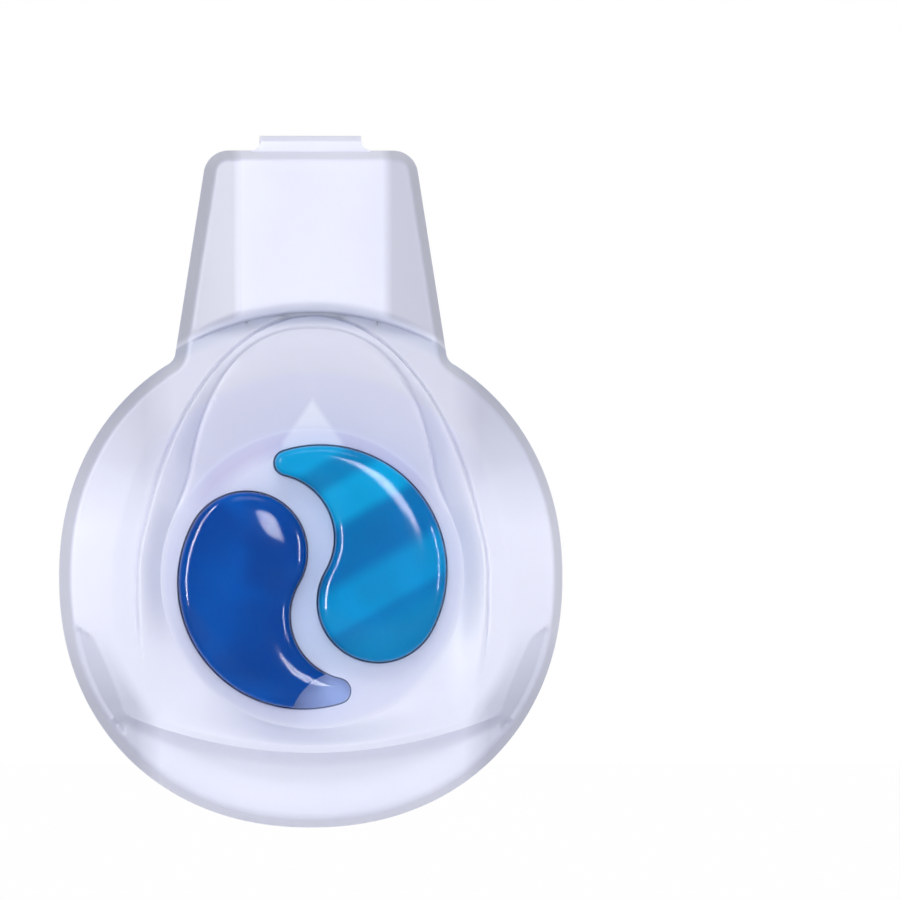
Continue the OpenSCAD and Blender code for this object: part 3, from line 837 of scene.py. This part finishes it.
# %% [markdown]
# Polypropylene lets light in and scatters it, so a thin white wall looks milky and its shadows are soft.
# Subsurface scattering of about a millimetre gives that. The mould was lightly textured, which breaks up
# the gloss. Painted shade darkens the upper part of the dish and of the rim, and a painted blue glow from
# the gels colours the plastic round the windows: both are rings round the centre of the face. A painted
# highlight, a light wedge, is left out of the painted shade, and soft patches of painted shade darken the
# flanks, the bottom flats and the sides of the neck.

# %% Translucent polypropylene
TINT_R = 32
# Painted blue glow from the gels on the plastic round the windows, strongest at the centre
GEL_GLOW_TINT = [(0.0, "#d8e8fc"), (0.25, "#e0eefe"), (0.45, "#f0f2fa"), (0.54, "#f2f3fa"), (0.57, "#ffffff")]
# Painted shade on the upper part of the face: a darker band over the dish and a darker upper rim
UPPER_SHADE_FROM = (0.46, 0.7)
UPPER_SHADE_TINT = [(0.45, "#ffffff"), (0.505, "#e6e0ee"), (0.54, "#e6e4f0"), (0.553, "#f2f2f8"),
              (0.57, "#e8e8f0"), (0.755, "#eaeaf0"), (0.768, "#ebebec"), (0.93, "#ebebec"),
              (0.965, "#dadee4"), (0.985, "#d8dce4"), (0.992, "#ffffff")]
# A painted highlight: a light wedge at the top of the dish is left out of the painted shade
WEDGE_TOP, WEDGE_H, WEDGE_W, WEDGE_SOFT = 21.6, 5.6, 3.9, 0.7
# Painted shade on the upper flanks
FLANK_X, FLANK_Z, FLANK_SHADE = (16.5, 20.0), (6.0, 14.0), "#e6e6ea"
# Painted shade on the bottom flats, which face down and away from the light
LOW_Z, LOW_R, LOW_X, LOW_SHADE = (-6.0, -15.0), (24.5, 26.0), (18.0, 21.0), "#dcdce0"
# Painted shade on the sides of the neck
NECK_X, NECK_R, NECK_SIDE_SHADE = (PANEL_MID - 0.4, PANEL_MID + 0.8), (ARC_R - 0.2, ARC_R + 0.4), "#dadadc"


def paint_face_shade(owner, coords, colour):
    """Painted glow, shade and highlight on the front, each in its ring or patch of the face plane."""
    plane, distance = from_centre(owner, coords, 0, 0)
    parts = add(owner, "ShaderNodeSeparateXYZ", None, {"Vector": (plane, "Vector")})
    height = (parts, "Z")
    aside = (add(owner, "ShaderNodeMath", {"operation": "ABSOLUTE"}, {0: (parts, "X")}), "Value")

    ring = span_mm(owner, *distance, (0.0, TINT_R))
    # Painted blue glow from the gels round the windows
    gel_glow = colour_ramp(owner, *ring, GEL_GLOW_TINT)
    colour = tint(owner, colour, (gel_glow, "Color"))

    # Painted shade on the upper face, with the painted highlight wedge kept out of it
    reach = span_mm(owner, *height, (WEDGE_TOP, WEDGE_TOP - WEDGE_H))
    beside = calculate(owner, "SUBTRACT", calculate(owner, "MULTIPLY", reach, WEDGE_W * MM), aside)
    off_wedge = span_mm(owner, *beside, (WEDGE_SOFT, 0.0))
    upness = calculate(owner, "DIVIDE", height, distance)
    upper = all_of(owner, span(owner, *upness, *UPPER_SHADE_FROM), off_wedge)
    above = colour_ramp(owner, *ring, UPPER_SHADE_TINT)
    colour = tint(owner, colour, (above, "Color"), upper)

    # Painted shade on the flanks
    flank = all_of(owner, span_mm(owner, *aside, FLANK_X), span_mm(owner, *height, FLANK_Z))
    colour = tint(owner, colour, FLANK_SHADE, flank)
    # Painted shade on the bottom flats
    low = all_of(owner, span_mm(owner, *height, LOW_Z), span_mm(owner, *distance, LOW_R),
                 span_mm(owner, *aside, LOW_X))
    colour = tint(owner, colour, LOW_SHADE, low)
    # Painted shade on the sides of the neck
    neck_side_shade = all_of(owner, span_mm(owner, *aside, NECK_X), span_mm(owner, *distance, NECK_R))
    return tint(owner, colour, NECK_SIDE_SHADE, neck_side_shade)


def make_polypropylene(name, dull, bright, on_face):
    material, shader = new_material(name)
    coords = add(material, "ShaderNodeTexCoord")
    cloud = add(material, "ShaderNodeTexNoise", {"Scale": 90.0, "Detail": 2.0},
                {"Vector": (coords, "Object")})
    colour = (colour_ramp(material, cloud, "Fac", [(0.3, dull), (0.7, bright)]), "Color")
    if on_face:
        # The front gets painted glow, painted shade and a painted highlight over its own colour
        colour = paint_face_shade(material, coords, colour)
    join(material, *colour, shader, "Base Color")
    grain = add(material, "ShaderNodeTexNoise", {"Scale": 2600.0, "Detail": 1.0},
                {"Vector": (coords, "Object")})
    bump = add(material, "ShaderNodeBump", {"Strength": 0.04, "Distance": 0.0001}, {"Height": (grain, "Fac")})
    join(material, bump, "Normal", shader, "Normal")
    sheen = add(material, "ShaderNodeMapRange", {"To Min": 0.42, "To Max": 0.52}, {"Value": (cloud, "Fac")})
    join(material, sheen, "Result", shader, "Roughness")
    set_sockets(shader, {"IOR": 1.49, "Subsurface Weight": 0.45, "Subsurface Radius": (1.0, 1.0, 1.1),
                         "Subsurface Scale": 0.001})
    return material


dress(cover, make_polypropylene("moulded_polypropylene", "#e2e4f3", "#e6e8f6", on_face=True))
dress(back, make_polypropylene("back_polypropylene", "#e6e8f6", "#ebecfa", on_face=False))

# %% [markdown]
# The gels are coloured water-based gels. They are deep and smooth, so the colour is strong, and it drifts
# from place to place where the gel is thicker or carries a swirl. The light gel has slanted bands of two
# tones, and the dark gel is pale round its bubble.

# %% Coloured gel
BAND_ALONG, BAND_FROM, BAND_TO = (0.5, 0, -0.866), 0.027785, 0.053785
BANDS = [(0.09, "#00b2e2"), (0.13, "#0094c8"), (0.2, "#0092c6"), (0.25, "#00b8e8"), (0.37, "#00b2e2"),
         (0.42, "#0080bc"), (0.6, "#007cba"), (0.66, "#009ed4"), (0.8, "#00a2d8"), (0.84, "#0088c2"),
         (0.92, "#0094c8")]
BUBBLE_TINT = "#bccef8"


def make_gel(name, stops, swirl):
    material, shader = new_material(name)
    coords = add(material, "ShaderNodeTexCoord")
    cloud = add(material, "ShaderNodeTexNoise", {"Scale": 130.0, "Detail": 1.5, "Distortion": swirl},
                {"Vector": (coords, "Object")})
    tone = (colour_ramp(material, cloud, "Fac", stops), "Color")
    set_sockets(shader, {"Roughness": 0.5, "IOR": 1.36, "Specular IOR Level": 0.0, "Subsurface Weight": 0.12,
                         "Subsurface Radius": (0.3, 0.8, 1.4), "Subsurface Scale": 0.001})
    return material, shader, tone, coords


light_stuff, light_shader, light_tone, light_coords = make_gel(
    "light_blue_gel", [(0.35, "#f2f2f2"), (0.66, "#ffffff")], 0.8)
slope = add(light_stuff, "ShaderNodeVectorMath", {"operation": "DOT_PRODUCT", 1: BAND_ALONG},
            {0: (light_coords, "Object")})
bands = colour_ramp(light_stuff, *span(light_stuff, slope, "Value", BAND_FROM, BAND_TO), BANDS)
join(light_stuff, *tint(light_stuff, light_tone, (bands, "Color")), light_shader, "Base Color")
dress(light_gel, light_stuff)

dark_stuff, dark_shader, dark_tone, dark_coords = make_gel(
    "dark_blue_gel", [(0.35, "#00489a"), (0.5, "#0050a4"), (0.66, "#005ab2")], 0.5)
_, bubble_distance = from_centre(dark_stuff, dark_coords, BUBBLE_AT.x, BUBBLE_AT.y)
in_bubble = span_mm(dark_stuff, *bubble_distance, (BUBBLE_R - 0.02, BUBBLE_R - 0.12))
mixed = add(dark_stuff, "ShaderNodeMix", {"data_type": "RGBA", MIX_B: srgb(BUBBLE_TINT)},
            {"Factor": in_bubble, MIX_A: dark_tone})
join(dark_stuff, mixed, MIX_RESULT, dark_shader, "Base Color")
dress(dark_gel, dark_stuff)

# %% [markdown]
# The tray is clear thermoformed sheet. So thin a sheet hardly bends what is seen through it and only adds
# its gloss, so it is a see-through shader with a reflection that grows towards the edges.

# %% Clear formed sheet
GLOSS_FLAT, GLOSS_STEEP, GLOSS_POWER = 0.007, 0.32, 3.5


def make_clear_sheet(name):
    material, shader = new_material(name)
    glass = add(material, "ShaderNodeBsdfGlossy", {"Roughness": 0.08, "Color": srgb("#ffffff")})
    clear = add(material, "ShaderNodeBsdfTransparent", {"Color": srgb("#f9fbff")})
    edge = add(material, "ShaderNodeLayerWeight", {"Blend": 0.5})
    steep = calculate(material, "POWER", (edge, "Facing"), GLOSS_POWER)
    gloss = add(material, "ShaderNodeMapRange", {"To Min": GLOSS_FLAT, "To Max": GLOSS_STEEP},
                {"Value": steep})
    both = add(material, "ShaderNodeMixShader", None,
               {0: (gloss, "Result"), 1: (clear, "BSDF"), 2: (glass, "BSDF")})
    join(material, both, "Shader", material.node_tree.nodes["Material Output"], "Surface")
    material.node_tree.nodes.remove(shader)
    return material


dress(blister, make_clear_sheet("clear_formed_sheet"))

# %% [markdown]
# The film behind the tray breathes, so that the scent can leave. It is a white nonwoven: short fibres, bonded
# in a fine felt. It only shows through the vents in the back.

# %% Breathable film
def make_film(name):
    material, shader = new_material(name)
    coords = add(material, "ShaderNodeTexCoord")
    fibres = add(material, "ShaderNodeTexNoise", {"Scale": 900.0, "Detail": 4.0, "Roughness": 0.7},
                 {"Vector": (coords, "Object")})
    tone = colour_ramp(material, fibres, "Fac", [(0.3, "#d6dae2"), (0.7, "#eef0f5")])
    join(material, tone, "Color", shader, "Base Color")
    bump = add(material, "ShaderNodeBump", {"Strength": 0.3, "Distance": 0.0001}, {"Height": (fibres, "Fac")})
    join(material, bump, "Normal", shader, "Normal")
    set_sockets(shader, {"Roughness": 0.8})
    return material


dress(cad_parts["membrane"], make_film("breathable_nonwoven"))

# %% [markdown]
# The stage is a pale floor under the hanging object. The camera sees the world as white, and the world lights
# the case softly. Soft boxes fill it from above, from in front and from below, and two strips and a patch
# are there for the reflections alone.

# %% Floor and world
FLOOR_DROP, FLOOR_SEEN = 0.03, 0.98
WORLD_SOFT, WORLD_GLOSSY, WORLD_SEEN = 0.7, 0.64, 1.0
FLOOR_LEVEL = CAD_BOX[0][2] - FLOOR_DROP
bpy.ops.object.select_all(action="DESELECT")
bpy.ops.mesh.primitive_plane_add(size=6, location=(0, 0, FLOOR_LEVEL))
floor = bpy.context.object
floor.name = "pale_floor"


def seen_directly(owner):
    """1 for rays from the camera or through glass, and 0 for light that falls on things."""
    path = add(owner, "ShaderNodeLightPath")
    return calculate(owner, "MAXIMUM", (path, "Is Camera Ray"), (path, "Is Transmission Ray"))


floor_stuff, floor_shader = new_material("pale_floor")
set_sockets(floor_shader, {"Base Color": srgb("#f4f4f6"), "Roughness": 0.9})
glow = add(floor_stuff, "ShaderNodeEmission", {"Color": srgb("#ffffff"), "Strength": 1.0})
floor_seen = calculate(floor_stuff, "MULTIPLY", seen_directly(floor_stuff), FLOOR_SEEN)
floor_mix = add(floor_stuff, "ShaderNodeMixShader", None,
                {0: floor_seen, 1: (floor_shader, "BSDF"), 2: (glow, "Emission")})
join(floor_stuff, floor_mix, "Shader", floor_stuff.node_tree.nodes["Material Output"], "Surface")
dress(floor, floor_stuff)

world = bpy.data.worlds.new("studio")
bpy.context.scene.world = world
world.use_nodes = True
soft = world.node_tree.nodes["Background"]
set_sockets(soft, {"Color": srgb("#f8f9ff"), "Strength": WORLD_SOFT})
dim = add(world, "ShaderNodeBackground", {"Color": srgb("#ffffff"), "Strength": WORLD_GLOSSY})
bright = add(world, "ShaderNodeBackground", {"Color": srgb("#ffffff"), "Strength": WORLD_SEEN})
rays = add(world, "ShaderNodeLightPath")
shine = add(world, "ShaderNodeMixShader", None,
            {0: (rays, "Is Glossy Ray"), 1: (soft, "Background"), 2: (dim, "Background")})
either = add(world, "ShaderNodeMixShader", None,
             {0: seen_directly(world), 1: (shine, "Shader"), 2: (bright, "Background")})
join(world, either, "Shader", world.node_tree.nodes["World Output"], "Surface")

# %% Lights
AIM = at(0, 8, 9)
# Each box has a name, a place, a width and a height in metres, and its watts
TOP = ("top_box", (0.02, -0.34, 0.34), 0.24, 0.16, 0.5)
FILLS = (("front_box", (-0.12, -0.62, 0.05), 0.3, 0.3, 0.46),
         ("low_box", (-0.08, -0.5, -0.4), 0.4, 0.3, 0.24))
SHINES = (("left_strip", (-0.34, -0.42, 0.04), 0.06, 0.7, 7.0),
          ("right_strip", (0.36, -0.4, -0.1), 0.03, 0.4, 2.4),
          ("patch_box", (0.1, -0.67, 0.09), 0.1, 0.17, 1.6))


def soft_box(name, place, width, height, watts):
    light = bpy.data.lights.new(name, "AREA")
    light.shape = "RECTANGLE"
    light.size = width
    light.size_y = height
    light.energy = watts
    obj = bpy.data.objects.new(name, light)
    bpy.context.scene.collection.objects.link(obj)
    obj.location = place
    obj.rotation_euler = (AIM - Vector(place)).to_track_quat("-Z", "Y").to_euler()
    return obj


soft_box(*TOP)
for box in FILLS:
    soft_box(*box).visible_glossy = False
for box in SHINES:
    soft_box(*box).visible_diffuse = False

# %% [markdown]
# The photograph shows the case from straight in front, a touch from the left, through a long lens. Its
# picture frame is square, the face's centre lies left of and below the middle of the picture, and
# 8.37 pixels there are a millimetre.

# %% Camera
PIXELS, PX_PER_MM, SENSOR = 900, 8.367, 36
CENTRE_PX = Vector((311, 577))
DISTANCE = 1.8
AZIMUTH = math.radians(-1.2)

camera_data = bpy.data.cameras.new("camera")
camera_data.sensor_width = SENSOR
frame_w = PIXELS / PX_PER_MM * MM
camera_data.lens = SENSOR * DISTANCE / frame_w
camera = bpy.data.objects.new("camera", camera_data)
bpy.context.scene.collection.objects.link(camera)
towards = Vector((-math.sin(AZIMUTH), math.cos(AZIMUTH), 0))
middle = at(0, 0, 1)
camera.location = middle - towards * DISTANCE
camera.rotation_euler = towards.to_track_quat("-Z", "Y").to_euler()
camera_data.shift_x = (PIXELS / 2 - CENTRE_PX.x) / PIXELS
camera_data.shift_y = (CENTRE_PX.y - PIXELS / 2) / PIXELS
bpy.context.scene.camera = camera
bpy.context.scene.view_settings.view_transform = "Standard"
